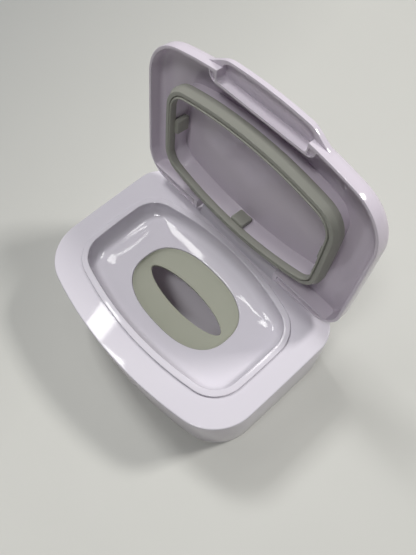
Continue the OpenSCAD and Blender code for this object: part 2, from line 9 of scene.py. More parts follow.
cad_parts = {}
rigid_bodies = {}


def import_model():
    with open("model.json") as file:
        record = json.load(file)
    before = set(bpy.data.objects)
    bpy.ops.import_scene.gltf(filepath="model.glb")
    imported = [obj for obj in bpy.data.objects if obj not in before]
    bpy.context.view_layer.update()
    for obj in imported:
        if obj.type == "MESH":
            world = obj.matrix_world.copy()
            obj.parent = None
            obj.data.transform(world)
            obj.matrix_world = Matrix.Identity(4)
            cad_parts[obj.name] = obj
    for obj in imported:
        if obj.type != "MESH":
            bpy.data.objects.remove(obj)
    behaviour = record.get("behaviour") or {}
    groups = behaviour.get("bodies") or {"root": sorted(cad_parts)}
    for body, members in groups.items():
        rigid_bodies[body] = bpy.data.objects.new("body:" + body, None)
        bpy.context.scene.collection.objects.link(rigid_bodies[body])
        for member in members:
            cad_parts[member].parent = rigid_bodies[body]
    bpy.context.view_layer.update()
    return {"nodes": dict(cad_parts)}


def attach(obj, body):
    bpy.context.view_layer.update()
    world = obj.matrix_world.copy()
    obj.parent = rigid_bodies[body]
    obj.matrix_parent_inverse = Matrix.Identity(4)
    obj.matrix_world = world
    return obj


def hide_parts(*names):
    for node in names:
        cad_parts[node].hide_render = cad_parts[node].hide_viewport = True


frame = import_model()
scene = bpy.context.scene
print("stage: frame loaded")

# lengths below are in millimetres and become metres when a mesh is made
mm = 0.001
mergeGap = 1e-7  # metres
hardAngle, softAngle = 32, 50  # edges sharper than this stay sharp, on shells and on soft parts
body = dict(width=190, depth=128.7, rim=63, skin=2.2, frontBow=300, backBow=3200, endBow=3200,
            frontCorner=34.6, backCorner=22)
bead = dict(width=156.6, depth=98.2, shift=3, thick=4.7, high=1.8, edge=0.7, frontBow=260, backBow=215,
            endBow=600, corner=25, wellDepth=12.5, sideRun=4.2, footRun=0.12, footRise=0.35,
            outerRun=2, outerLean=0.6, outerFall=1.4, crest=0.55)
hinge = dict(angle=99.7, fromBack=4.6, rise=9.9)
steps = dict(long=18, corner=22, end=8, pin=32)
hingeY = body["depth"] / 2 - hinge["fromBack"]
hingeZ = body["rim"] + hinge["rise"]
rimZ = body["rim"]
seamZ = rimZ - body["skin"]


# angles between two directions given in degrees
def fan(start, end, count):
    return np.radians(np.linspace(start, end, count))


def cornerCentre(c1, r1, c2, r2, side):
    gap = np.linalg.norm(c2 - c1)
    along = (r1 * r1 - r2 * r2 + gap * gap) / (2 * gap)
    across = math.sqrt(max(0, r1 * r1 - along * along))
    u = (c2 - c1) / gap
    return c1 + along * u + side * across * np.array([-u[1], u[0]])


# points on an arc, each with its outward direction
def arcPoints(centre, radius, start, end, count):
    angles = start + (end - start) * np.arange(count) / count
    return np.column_stack([centre[0] + radius * np.cos(angles), centre[1] + radius * np.sin(angles),
                            np.cos(angles), np.sin(angles)])


# a rectangle with bowed sides, as points with their outward directions
def bowed(width, depth, shift, frontBow, backBow, endBow, frontCorner, backCorner):
    front = np.array([0, frontBow - depth / 2])
    back = np.array([0, depth / 2 - backBow])
    end = np.array([width / 2 - endBow, 0])
    c1 = cornerCentre(front, frontBow - frontCorner, end, endBow - frontCorner, 1)
    c2 = cornerCentre(back, backBow - backCorner, end, endBow - backCorner, -1)

    def slope(a, b):
        return math.atan2(b[1] - a[1], b[0] - a[0])

    a1, a2, a3, a4 = slope(front, c1), slope(end, c1), slope(end, c2), slope(back, c2)
    half = np.vstack([arcPoints(front, frontBow, -math.pi / 2, a1, steps["long"]),
                      arcPoints(c1, frontCorner, a1, a2, steps["corner"]),
                      arcPoints(end, endBow, a2, a3, steps["end"]),
                      arcPoints(c2, backCorner, a3, a4, steps["corner"]),
                      arcPoints(back, backBow, a4, math.pi / 2, steps["long"]),
                      [[0, depth / 2, 0, 1]]])
    other = half[-2:0:-1] * [-1, 1, -1, 1]
    return np.vstack([half, other]) + [0, shift, 0, 0]


bodyLine = bowed(body["width"], body["depth"], 0, body["frontBow"], body["backBow"], body["endBow"],
                 body["frontCorner"], body["backCorner"])
beadLine = bowed(bead["width"], bead["depth"], bead["shift"], bead["frontBow"], bead["backBow"],
                 bead["endBow"], bead["corner"], bead["corner"])
turns = np.arctan2((beadLine[:, 1] - bead["shift"]) / bead["depth"], beadLine[:, 0] / bead["width"])


# an outline drawn in by an inset, at one height
def ring(line, inset, z):
    return np.column_stack([line[:, 0] - inset * line[:, 2], line[:, 1] - inset * line[:, 3],
                            np.full(len(line), z)])


# rings round an edge, by a quarter turn from one inset and height to another
def roundRings(line, inset, z, insetStep, zStep, count):
    return [ring(line, inset + insetStep * (1 - math.cos(a)), z + zStep * math.sin(a))
            for a in fan(0, 90, count + 1)]


# an oval with as many points as the bead's outline; a power above 1 points it and one below squares it
def oval(halfWidth, halfDepth, grow, z, widthPower, depthPower):
    c, s = np.cos(turns), np.sin(turns)
    x = (halfWidth + grow) * np.sign(c) * np.abs(c) ** widthPower
    y = bead["shift"] + (halfDepth + grow) * np.sign(s) * np.abs(s) ** depthPower
    return np.column_stack([x, y, np.full(len(x), z)])


def between(a, b, share, z):
    mixed = a + (b - a) * share
    mixed[:, 2] = z
    return mixed


# a smooth run of rings through the given ones
def smoothRings(rings, count):
    p = np.array(rings)
    first, last = 2 * p[0] - p[1], 2 * p[-1] - p[-2]
    p = np.concatenate([[first], p, [last]])
    spans = np.sqrt(np.linalg.norm(np.diff(p, axis=0), axis=2))
    t = np.concatenate([np.zeros((1, p.shape[1])), np.cumsum(spans, axis=0)])
    out = []
    for k in range(1, len(p) - 2):
        for share in np.arange(count) / count:
            u = (t[k] + (t[k + 1] - t[k]) * share)[:, None]
            t0, t1, t2, t3 = (t[k + i][:, None] for i in (-1, 0, 1, 2))
            a1 = (t1 - u) / (t1 - t0) * p[k - 1] + (u - t0) / (t1 - t0) * p[k]
            a2 = (t2 - u) / (t2 - t1) * p[k] + (u - t1) / (t2 - t1) * p[k + 1]
            a3 = (t3 - u) / (t3 - t2) * p[k + 1] + (u - t2) / (t3 - t2) * p[k + 2]
            b1 = (t2 - u) / (t2 - t0) * a1 + (u - t0) / (t2 - t0) * a2
            b2 = (t3 - u) / (t3 - t1) * a2 + (u - t1) / (t3 - t1) * a3
            out.append((t2 - u) / (t2 - t1) * b1 + (u - t1) / (t2 - t1) * b2)
    return out + [p[-2]]


def addPiece(name, data):
    piece = bpy.data.objects.new(name, data)
    scene.collection.objects.link(piece)
    return piece


def makeMesh(name, points, faces, smoothAngle):
    mesh = bpy.data.meshes.new(name)
    mesh.from_pydata([tuple(v) for v in np.asarray(points) * mm], [], faces)
    work = bmesh.new()
    work.from_mesh(mesh)
    bmesh.ops.remove_doubles(work, verts=work.verts, dist=mergeGap)
    bmesh.ops.recalc_face_normals(work, faces=work.faces)
    work.to_mesh(mesh)
    work.free()
    mesh.shade_smooth()
    mesh.set_sharp_from_angle(angle=math.radians(smoothAngle))
    return addPiece(name, mesh)


# a solid through rings: closed joins the last to the first, domed ends both in a point
def skin(name, rings, closed=False, domed=False, smoothAngle=hardAngle):
    n, m = len(rings[0]), len(rings)
    points = np.vstack(rings)
    faces = []
    for k in range(m if closed else m - 1):
        here, there = k * n, (k + 1) % m * n
        for i in range(n):
            after = (i + 1) % n
            faces.append((here + i, there + i, there + after, here + after))
    if domed:
        points = np.vstack([points, rings[0].mean(axis=0), rings[-1].mean(axis=0)])
        faces += [(n * m, i, (i + 1) % n) for i in range(n)]
        faces += [(n * m + 1, (m - 1) * n + (i + 1) % n, (m - 1) * n + i) for i in range(n)]
    elif not closed:
        faces += [tuple(range(n)), tuple(range(n * m - 1, n * (m - 1) - 1, -1))]
    return makeMesh(name, points, faces, smoothAngle)


# an outline in plan carried straight up between two heights
def prism(name, plan, low, high):
    plan = np.asarray(plan, float)
    flat = np.column_stack([plan, np.full(len(plan), low)])
    return skin(name, [flat, flat + [0, 0, high - low]])


def block(name, low, high):
    plan = [(low[0], low[1]), (high[0], low[1]), (high[0], high[1]), (low[0], high[1])]
    return prism(name, plan, low[2], high[2])


# a round bar along the hinge line, which cuts a bore
def hingeBar(radius, halfLength):
    around = np.linspace(0, 2 * math.pi, steps["pin"] + 1)[:-1]
    y, z = hingeY + radius * np.cos(around), hingeZ + radius * np.sin(around)
    return skin("pinBore", [np.column_stack([np.full(len(y), x), y, z]) for x in (-halfLength, halfLength)])


# the piece's mesh after its modifiers, which are then removed
def settle(piece, smoothAngle=hardAngle):
    view = bpy.context.evaluated_depsgraph_get()
    mesh = bpy.data.meshes.new_from_object(piece.evaluated_get(view))
    piece.modifiers.clear()
    piece.data = mesh
    mesh.set_sharp_from_angle(angle=math.radians(smoothAngle))
    return piece


def combine(piece, others, operation):
    for other in others:
        cut = piece.modifiers.new(operation, "BOOLEAN")
        cut.operation = operation
        cut.solver = "EXACT"
        cut.object = other
    settle(piece)
    for other in others:
        bpy.data.objects.remove(other)
    return piece


# a socket of a node tree that takes part in sums
class Value:
    def __init__(self, tree, socket):
        self.tree, self.socket = tree, socket

    def math(self, operation, *others):
        step = self.tree.nodes.new("ShaderNodeMath")
        step.operation = operation
        for slot, item in zip(step.inputs, others):
            if isinstance(item, Value):
                self.tree.links.new(item.socket, slot)
            else:
                slot.default_value = item
        return Value(self.tree, step.outputs[0])

    def __add__(self, other):
        return self.math("ADD", self, other)

    def __radd__(self, other):
        return self.math("ADD", other, self)

    def __sub__(self, other):
        return self.math("SUBTRACT", self, other)

    def __rsub__(self, other):
        return self.math("SUBTRACT", other, self)

    def __mul__(self, other):
        return self.math("MULTIPLY", self, other)

    def __rmul__(self, other):
        return self.math("MULTIPLY", other, self)

    def __pow__(self, other):
        return self.math("POWER", self, other)

    def __rpow__(self, other):
        return self.math("POWER", other, self)

    def clamped(self, low, high):
        return self.math("MAXIMUM", self.math("MINIMUM", self, high), low)


# a node tree whose nodes all come from one method
class Tree:
    def __init__(self, tree):
        self.tree = tree

    def add(self, kind, settings=None, output=0, **inputs):
        made = self.tree.nodes.new(kind)
        for key, value in (settings or {}).items():
            setattr(made, key, value)
        self.fill(made, inputs)
        return Value(self.tree, made.outputs[output])

    # inputs go by name, or as i0, i1 where several share one
    def fill(self, made, inputs):
        for key, item in inputs.items():
            numbered = key[0] == "i" and key[1:].isdigit()
            slot = made.inputs[int(key[1:]) if numbered else key.replace("_", " ")]
            for part in item if isinstance(item, list) else [item]:
                if isinstance(part, Value):
                    self.tree.links.new(part.socket, slot)
                else:
                    slot.default_value = part


# a tree of shader nodes with its material
class Finish(Tree):
    def __init__(self, name):
        self.material = bpy.data.materials.new(name)
        self.material.use_nodes = True
        super().__init__(self.material.node_tree)
        self.surface = self.tree.nodes["Principled BSDF"]

    def place(self):
        return self.add("ShaderNodeTexCoord", output="Object")

    def noise(self, scale, detail=2.0, roughness=0.5, where=None):
        return self.add("ShaderNodeTexNoise", {"noise_dimensions": "3D"}, output="Fac",
                        Vector=where or self.place(), Scale=scale, Detail=detail, Roughness=roughness)

    def blend(self, share, first, second):
        return self.add("ShaderNodeMix", {"data_type": "RGBA"}, output=2, i0=share, i6=first, i7=second)

    # height in metres
    def bump(self, height):
        return self.add("ShaderNodeBump", None, "Normal", Strength=1.0, Distance=1.0, Height=height)

    def finish(self, **inputs):
        self.fill(self.surface, inputs)
        return self.material


# a tree of geometry nodes with named inputs
class Shape(Tree):
    def __init__(self, name, sockets):
        super().__init__(bpy.data.node_groups.new(name, "GeometryNodeTree"))
        face = self.tree.interface
        face.new_socket("Geometry", in_out="INPUT", socket_type="NodeSocketGeometry")
        self.ids = {}
        for label, kind in sockets:
            made = face.new_socket(label, in_out="INPUT", socket_type="NodeSocket" + kind)
            self.ids[label] = made.identifier
        face.new_socket("Geometry", in_out="OUTPUT", socket_type="NodeSocketGeometry")
        self.entry = self.tree.nodes.new("NodeGroupInput")

    def given(self, label):
        return Value(self.tree, self.entry.outputs[label])

    def finish(self, geometry):
        real = self.add("GeometryNodeRealizeInstances", Geometry=geometry)
        done = self.add("GeometryNodeSetMaterial", Geometry=real, Material=self.given("Material"))
        self.fill(self.tree.nodes.new("NodeGroupOutput"), dict(Geometry=done))

    # the piece after this tree, with the helper pieces taken away
    def apply(self, piece, values, smoothAngle):
        step = piece.modifiers.new(self.tree.name, "NODES")
        step.node_group = self.tree
        for label, value in values.items():
            step[self.ids[label]] = value
        settle(piece, smoothAngle)
        for value in values.values():
            if isinstance(value, bpy.types.Object):
                bpy.data.objects.remove(value)
        return piece


# a section carried round a closed outline
sweep = Shape("sweep", [("Section", "Object"), ("Material", "Material")])
guide = sweep.add("GeometryNodeSetCurveNormal", {"mode": "Z_UP"},
                  Curve=sweep.add("GeometryNodeMeshToCurve", Mesh=sweep.given("Geometry")))
drawn = sweep.add("GeometryNodeObjectInfo", output="Geometry", Object=sweep.given("Section"))
swept = sweep.add("GeometryNodeCurveToMesh", Curve=guide,
                  Profile_Curve=sweep.add("GeometryNodeMeshToCurve", Mesh=drawn))
sweep.finish(sweep.add("GeometryNodeMergeByDistance", Geometry=swept, Distance=mergeGap))

# plugs, one at the middle of each side, made one with the seal
plugCount = 4
plugs = Shape("plugs", [("Plug", "Object"), ("Half width", "Float"), ("Half depth", "Float"),
                        ("Shift", "Float"), ("Material", "Material")])
turn = plugs.add("GeometryNodeInputIndex") * (2 * math.pi / plugCount)
spot = plugs.add("ShaderNodeCombineXYZ", X=turn.math("COSINE", turn) * plugs.given("Half width"),
                 Y=turn.math("SINE", turn) * plugs.given("Half depth") + plugs.given("Shift"))
spread = plugs.add("GeometryNodeInstanceOnPoints",
                   Points=plugs.add("GeometryNodePoints", Count=plugCount, Position=spot),
                   Instance=plugs.add("GeometryNodeObjectInfo", output="Geometry",
                                      Object=plugs.given("Plug")),
                   Rotation=plugs.add("ShaderNodeCombineXYZ", Z=turn))
spread = plugs.add("GeometryNodeRealizeInstances", Geometry=spread)
plugs.finish(plugs.add("GeometryNodeMeshBoolean", {"operation": "UNION", "solver": "EXACT"},
                       Mesh_2=[plugs.given("Geometry"), spread]))


# points joined by edges, closed into a loop or left open
def makeLine(name, points, closed=True):
    mesh = bpy.data.meshes.new(name)
    n = len(points)
    joins = [(i, (i + 1) % n) for i in range(n if closed else n - 1)]
    mesh.from_pydata([tuple(v) for v in np.asarray(points) * mm], joins, [])
    return addPiece(name, mesh)


# section holds pairs of inset and height
def sweepRound(name, outline, section, material, closed=True, smoothAngle=hardAngle):
    flat = makeLine("section", [(-inset, -z, 0) for inset, z in section], closed)
    values = {"Section": flat, "Material": material}
    return sweep.apply(makeLine(name, ring(outline, 0, 0)), values, smoothAngle)


def paint(piece, material):
    piece.data.materials.clear()
    piece.data.materials.append(material)


plasticGrain = dict(broad=18, cloud=60, fine=1800, ripple=34, contrast=1.6, shift=-0.3, cloudRough=0.03,
                    fineRough=0.015, ior=1.5)


# glossy moulded plastic: two close tints, a faint ripple, a fine grain and a painted glow
def mouldedPlastic(name, tintA, tintB, gloss, ripple, grain, glow, through, paintedGlow):
    look = Finish(name)
    broad = look.noise(plasticGrain["broad"], 2)
    cloud = look.noise(plasticGrain["cloud"], 3)
    fine = look.noise(plasticGrain["fine"], 2)
    share = (broad * plasticGrain["contrast"] + plasticGrain["shift"]).clamped(0, 1)
    tint = look.blend(share, tintA, tintB)
    normal = look.bump(look.noise(plasticGrain["ripple"], 1) * ripple + fine * grain)
    rough = gloss + cloud * plasticGrain["cloudRough"] + fine * plasticGrain["fineRough"]
    # the emission is a painted glow, standing in for light scattered inside the plastic
    look.finish(Base_Color=tint, Roughness=rough, Normal=normal, IOR=plasticGrain["ior"],
                Emission_Color=glow, Emission_Strength=paintedGlow)
    # thin walls let a little light through, which tints the hollows
    thin = look.add("ShaderNodeBsdfTranslucent", Color=glow)
    solid = Value(look.tree, look.surface.outputs["BSDF"])
    both = look.add("ShaderNodeMixShader", i0=through, i1=solid, i2=thin)
    look.fill(look.tree.nodes["Material Output"], dict(Surface=both))
    return look.material


rubberGrain = dict(broad=26, fine=1400, contrast=1.4, shift=-0.2, facing=0.3, power=3, share=0.25,
                   sheenPaler=1.25, broadBump=1.5, fineRough=0.12, roughShift=-0.06, ior=1.41)


# soft matt rubber: powdery grain, with a painted sheen that lightens edges seen at a glancing angle
def softRubber(name, tintA, tintB, matt, grain):
    look = Finish(name)
    broad = look.noise(rubberGrain["broad"], 3)
    fine = look.noise(rubberGrain["fine"], 3, 0.6)
    # painted sheen: the facing weight lightens the tint towards glancing edges
    facing = look.add("ShaderNodeLayerWeight", None, "Facing", Blend=rubberGrain["facing"])
    share = (broad * rubberGrain["contrast"] + rubberGrain["shift"]).clamped(0, 1)
    tint = look.blend(share, tintA, tintB)
    sheenPaler = tuple(min(1, v * rubberGrain["sheenPaler"]) for v in tintB[:3]) + (1,)
    pale = look.blend((facing ** rubberGrain["power"]) * rubberGrain["share"], tint, sheenPaler)
    normal = look.bump(fine * grain + broad * (grain * rubberGrain["broadBump"]))
    rough = matt + fine * rubberGrain["fineRough"] + rubberGrain["roughShift"]
    return look.finish(Base_Color=pale, Roughness=rough, Normal=normal, IOR=rubberGrain["ior"])


steel = dict(stretch=(9000, 300, 300), dark=(0.5, 0.5, 0.52, 1), pale=(0.68, 0.68, 0.7, 1), depth=0.000004,
             rough=0.24, roughSpread=0.14)


# drawn steel wire: rings of fine scratches along the length
def drawnSteel(name):
    look = Finish(name)
    along = look.add("ShaderNodeVectorMath", {"operation": "MULTIPLY"},
                     i0=look.place(), i1=steel["stretch"])
    scratch = look.noise(1.0, 3, 0.6, where=along)
    tint = look.blend(scratch, steel["dark"], steel["pale"])
    rough = steel["rough"] + scratch * steel["roughSpread"]
    return look.finish(Base_Color=tint, Metallic=1.0, Roughness=rough,
                       Normal=look.bump(scratch * steel["depth"]))


shellLook = mouldedPlastic("shellPlastic", (0.72, 0.69, 0.755, 1), (0.74, 0.715, 0.77, 1),
                           gloss=0.02, ripple=0.00003, grain=0.0000005,
                           glow=(0.72, 0.58, 0.72, 1), through=0.1, paintedGlow=0)
# the lid's white plastic gets a darker, more purple tint, which paints the purple shade of its hollows
lidLook = mouldedPlastic("lidPlastic", (0.71, 0.652, 0.732, 1), (0.73, 0.68, 0.748, 1),
                         gloss=0.08, ripple=0.00005, grain=0.000001,
                         glow=(0.86, 0.6, 0.84, 1), through=0.08, paintedGlow=0)
# the tub's plastic carries a faint painted glow that lightens its shaded inside
tubLook = mouldedPlastic("tubPlastic", (0.7, 0.68, 0.73, 1), (0.72, 0.7, 0.745, 1),
                         gloss=0.16, ripple=0.0001, grain=0.000002,
                         glow=(0.86, 0.76, 0.8, 1), through=0.15, paintedGlow=0.024)
softLook = softRubber("softGrey", (0.375, 0.383, 0.312, 1), (0.4, 0.408, 0.336, 1),
                      matt=0.55, grain=0.000006)
# the seal's grey is set darker than the insert's, painting the shade it sits in inside the lid
sealLook = softRubber("sealGrey", (0.315, 0.317, 0.28, 1), (0.34, 0.342, 0.3, 1),
                      matt=0.5, grain=0.000006)
footLook = softRubber("footRubber", (0.2, 0.205, 0.18, 1), (0.24, 0.245, 0.215, 1),
                      matt=0.6, grain=0.00001)
steelLook = drawnSteel("pinSteel")
print("stage: materials")

# tub
tub = dict(wall=2.2, floor=2.6, draft=2, baseEdge=4, recess=0.6, border=12, step=0.3, proud=0.8,
           seamGap=0.3, lip=0.35)
tubTop = seamZ - tub["seamGap"]


# how far the tub has drawn in at a height
def lean(z):
    return tub["draft"] * (tubTop - z) / (tubTop - tub["proud"])


panel = tub["draft"] + tub["border"]
tubRings = [ring(bodyLine, panel + tub["step"], tub["proud"] + tub["recess"]),
            ring(bodyLine, panel, tub["proud"] + tub["recess"]), ring(bodyLine, panel, tub["proud"])]
for a in fan(0, 90, 9):
    z = tub["proud"] + tub["baseEdge"] * (1 - math.cos(a))
    tubRings.append(ring(bodyLine, lean(z) + tub["baseEdge"] * (1 - math.sin(a)), z))
tubRings += roundRings(bodyLine, 0, tubTop - tub["lip"], tub["lip"], tub["lip"], 3)
tubRings.append(ring(bodyLine, tub["wall"], tubTop))
innerEdge = tub["baseEdge"] - tub["wall"] / 2
for a in fan(90, 0, 7):
    z = tub["proud"] + tub["floor"] + innerEdge * (1 - math.cos(a))
    tubRings.append(ring(bodyLine, tub["wall"] + lean(z) + innerEdge * (1 - math.sin(a)), z))
tubPiece = skin("tub", tubRings)
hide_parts("container")
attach(tubPiece, "base")
paint(tubPiece, tubLook)
print("stage: tub")

# cover
cover = dict(edge=1, lowEdge=0.25, plugDepth=7, plugWall=1.6, plugGap=0.35, plugEdge=0.3)
opening = dict(width=89, depth=56.6, collar=6, collarWall=1.8, edge=0.8, power=0.813, footEdge=0.3,
               footRise=0.4)
# the well's fall: shares of its side run, then of the way from its foot to the opening, with depths
sideShares = [(0.08, 0.16), (0.26, 0.36), (0.55, 0.54), (1, 0.68)]
floorShares = [(0.25, 0.79), (0.5, 0.88), (0.75, 0.95)]
wellZ = rimZ - bead["wellDepth"]


def openingRing(grow, z):
    return oval(opening["width"] / 2, opening["depth"] / 2, grow, z, opening["power"], opening["power"])


# a gentle outer side, a flat crest and a crisp inner edge
def beadSection():
    e, top = bead["edge"], rimZ + bead["high"]
    made = [ring(beadLine, 0, rimZ), ring(beadLine, bead["footRun"] * e, rimZ + bead["footRise"])]
    for a in fan(20, 90, 7):
        run = bead["outerRun"] * e * (1 - math.cos(a / 2)) + e * (1 - math.cos(a)) * bead["outerLean"]
        made.append(ring(beadLine, run, top - e * bead["outerFall"] * (1 - math.sin(a))))
    made.append(ring(beadLine, bead["thick"] * bead["crest"], top))
    for a in fan(0, 90, 7):
        made.append(ring(beadLine, bead["thick"] - e * (1 - math.sin(a)), top - e * (1 - math.cos(a))))
    return made


# the well, from the bead to the opening, and its underside on the way back
foot = ring(beadLine, bead["thick"] + bead["sideRun"], wellZ)
hole = openingRing(0, 0)
wellControls = [ring(beadLine, bead["thick"], rimZ + bead["high"] - bead["edge"])]
wellControls += [ring(beadLine, bead["thick"] + bead["sideRun"] * run, rimZ - bead["wellDepth"] * deep)
                 for run, deep in sideShares]
wellControls += [between(foot, hole, way, rimZ - bead["wellDepth"] * deep) for way, deep in floorShares]
wellControls.append(openingRing(opening["edge"], wellZ))
underControls = [openingRing(opening["collarWall"], wellZ - body["skin"])]
underControls += [between(foot, hole, way, rimZ - bead["wellDepth"] * deep - body["skin"])
                  for way, deep in floorShares[::-1]]
underControls += [ring(beadLine, bead["thick"] + bead["sideRun"] - body["skin"] / 2,
                       rimZ - bead["wellDepth"] * sideShares[3][1] - body["skin"] / 2),
                  ring(beadLine, bead["thick"] + bead["sideRun"] * sideShares[1][0] - body["skin"],
                       rimZ - bead["wellDepth"] * sideShares[1][1]),
                  ring(beadLine, bead["thick"] - body["skin"], seamZ)]

coverRings = [ring(bodyLine, cover["lowEdge"], seamZ), ring(bodyLine, 0, seamZ + cover["lowEdge"])]
coverRings += roundRings(bodyLine, 0, rimZ - cover["edge"], cover["edge"], cover["edge"], 7)
coverRings += beadSection()
coverRings += smoothRings(wellControls, 6)[1:]
coverRings += [openingRing(opening["edge"] * (1 - math.sin(a)), wellZ - opening["edge"] * (1 - math.cos(a)))
               for a in fan(15, 90, 6)]
collarFoot = wellZ - opening["collar"]
coverRings += [openingRing(0, collarFoot + opening["footRise"]),
               openingRing(opening["footEdge"], collarFoot),
               openingRing(opening["collarWall"] - opening["footEdge"], collarFoot),
               openingRing(opening["collarWall"], collarFoot + opening["footRise"])]
coverRings += smoothRings(underControls, 3)
plugOut = tub["wall"] + cover["plugGap"]
plugIn, plugLow, plugEdge = plugOut + cover["plugWall"], seamZ - cover["plugDepth"], cover["plugEdge"]
coverRings += [ring(bodyLine, plugIn, seamZ), ring(bodyLine, plugIn, plugLow + plugEdge),
               ring(bodyLine, plugIn - plugEdge, plugLow), ring(bodyLine, plugOut + plugEdge, plugLow),
               ring(bodyLine, plugOut, plugLow + plugEdge), ring(bodyLine, plugOut, seamZ)]
coverPiece = skin("coverShell", coverRings, closed=True)

# the hinge block: a wedge with a rounded top round the hinge line
knuckle = dict(width=77, radius=3, front=6.9, edge=0.5, sunk=1, pin=1.22, reach=4.2)
knuckleBevel = [(0, 1), (0.3, 0.45), (1, 0)]  # shares of the edge: along the block, and drawn in
knuckleHalf = knuckle["width"] / 2
over = 1  # how far a cut runs past the surface
tall = math.hypot(knuckle["front"], hinge["rise"])
tilt = math.atan2(hinge["rise"], knuckle["front"]) - math.acos(knuckle["radius"] / tall)
wedge = [(-knuckle["front"], -knuckle["sunk"]), (-knuckle["front"], 0)]
for a in np.linspace(math.pi - tilt, 0, 25):
    wedge.append((knuckle["radius"] * math.cos(a), hinge["rise"] + knuckle["radius"] * math.sin(a)))
wedge = np.array(wedge + [(knuckle["radius"], -knuckle["sunk"])])
inward = wedge.mean(axis=0) - wedge
inward = inward / np.linalg.norm(inward, axis=1)[:, None]
rows = [(-knuckleHalf + along * knuckle["edge"], drop * knuckle["edge"]) for along, drop in knuckleBevel]
rows += [(-x, inset) for x, inset in rows[::-1]]
blockRings = []
for x, inset in rows:
    s = wedge + inward * inset
    blockRings.append(np.column_stack([np.full(len(s), x), s[:, 0] + hingeY, s[:, 1] + rimZ]))
hingeBlock = skin("hingeBlock", blockRings)
combine(hingeBlock, [hingeBar(knuckle["pin"], knuckleHalf + over)], "DIFFERENCE")
combine(coverPiece, [hingeBlock], "UNION")
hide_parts("cover")
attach(coverPiece, "cover")
paint(coverPiece, shellLook)
print("stage: cover")

# soft insert
insert = dict(slotWidth=74, slotDepth=19.2, slotPower=1.1, funnel=5.2, step=0.9, thick=2, lipRound=0.33,
              hook=1.5, hookRise=3, hookEdge=0.3, gap=0.1)
brim = [(0, 0.5), (0.1, 0.1), (0.35, 0)]  # insets and drops round the outer edge
ways = [(0.16, 0.28), (0.4, 0.56), (0.7, 0.8), (0.93, 0.94)]  # shares of the way in, and of the fall


def slotRing(grow, z):
    return oval(insert["slotWidth"] / 2, insert["slotDepth"] / 2, grow, z, 1.0, insert["slotPower"])


insertTop, slotTop = wellZ - insert["step"], wellZ - insert["funnel"]
fall = insertTop - slotTop
lipInset = insert["thick"] / 6
mouth, lips = openingRing(-insert["gap"], 0), slotRing(0, 0)
inside, outside = -insert["gap"] - insert["hook"], opening["collarWall"] + insert["gap"] + insert["hook"]
hookZ, hookHalf = collarFoot - insert["gap"], insert["hook"] / 2
hookTop, hookWall = collarFoot + insert["hookRise"], opening["collarWall"] + insert["gap"]
upper = [openingRing(-insert["gap"] - brim[2][0], insertTop - brim[2][1])]
upper += [between(mouth, lips, way, insertTop - fall * deep) for way, deep in ways]
upper += [slotRing(lipInset, slotTop)]
lower = [slotRing(lipInset, slotTop - insert["thick"])]
lower += [between(mouth, lips, way, insertTop - fall * deep - insert["thick"])
          for way, deep in ways[2:0:-1]]
lower.append(between(openingRing(inside, 0), lips, ways[0][0],
                     insertTop - fall * ways[0][1] - insert["thick"]))
insertRings = [openingRing(-insert["gap"], hookZ)]
insertRings += [openingRing(-insert["gap"] - inset, insertTop - drop) for inset, drop in brim[:2]]
insertRings += smoothRings(upper, 6)
for a in np.radians([20, 45, 70, 90, 110, 135, 160]):
    insertRings.append(slotRing(lipInset - insert["lipRound"] * math.sin(a),
                                slotTop - insert["thick"] / 2 * (1 - math.cos(a))))
insertRings += smoothRings(lower, 3)
insertRings += [openingRing(inside + hookHalf * (1 - math.cos(a)), hookZ - hookHalf * (1 + math.sin(a)))
                for a in fan(0, 90, 5)]
insertRings += [openingRing(outside - hookHalf * (1 - math.cos(a)), hookZ - hookHalf * (1 + math.sin(a)))
                for a in fan(90, 0, 5)]
insertRings += [openingRing(outside, hookTop - insert["hookEdge"]),
                openingRing(outside - insert["hookEdge"], hookTop),
                openingRing(hookWall, hookTop), openingRing(hookWall, hookZ)]
insertPiece = skin("softInsert", insertRings, closed=True, smoothAngle=softAngle)
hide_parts("dispensing_insert")
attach(insertPiece, "cover")
paint(insertPiece, softLook)
print("stage: insert")

# lid, drawn shut and then swung open
lid = dict(wall=2, inset=2, gap=0.8, shoulder=12.8, crown=4, frontEdge=7, endEdge=5, backEdge=4, lip=0.35,
           backWallFront=5.2, backWall=1.5, lug=3, notchFront=3.8, notchBack=30, blockGap=0.4, pin=1.26)
tab = dict(reach=6, rootWidth=96, tipWidth=58, wall=1.8, low=5, top=10.2, edge=3, lowEdge=0.3,
           frontLap=0.25, backLap=1.5, boxLap=0.5, rootShare=0.66, count=48, roof=8.2, pocketWidth=68.4,
           pocketDepth=8.8, pocketCorner=2, frontRun=12, frontDeep=5, cell=6, cellWall=0.8, cellDepth=1.2)
seal = dict(endShort=1, frontCorner=26, backCorner=23.5, rimWall=1.8, rimDrop=2.3, gap=0.6, draw=1.7,
            thick=1.7, foot=1.4, rise=4.3, wrap=1.3, wrapHigh=4.6, fit=0.1, bead=1.3, beadHigh=0.55,
            beadSunk=0.1, groove=0.45, grooveDeep=1.6, shoulder=0.75, shoulderRun=0.75, rimEdge=0.15,
            wrapEdge=0.3, sideStep=0.05, sideLow=0.2, sideHigh=0.3, headWidth=11, headHigh=9.6,
            headThick=4, headEdge=1.1, headSteps=4, neckStep=0.8, neckHigh=2.4)
lidLow, lidTop = rimZ + lid["gap"], rimZ + lid["shoulder"]
aboveLid = lidTop + lid["crown"]
sealWidth = bead["width"] - 2 * seal["endShort"]
guideLine = bowed(sealWidth, bead["depth"], bead["shift"], bead["frontBow"], bead["backBow"],
                  bead["endBow"], seal["frontCorner"], seal["backCorner"])
sealOut = bead["thick"] + seal["gap"]
sealLip = sealOut + seal["draw"]
rimOut = sealLip + seal["thick"] + seal["fit"]
rimIn = rimOut + seal["rimWall"]
wrapIn = rimIn + seal["fit"] + seal["wrap"]
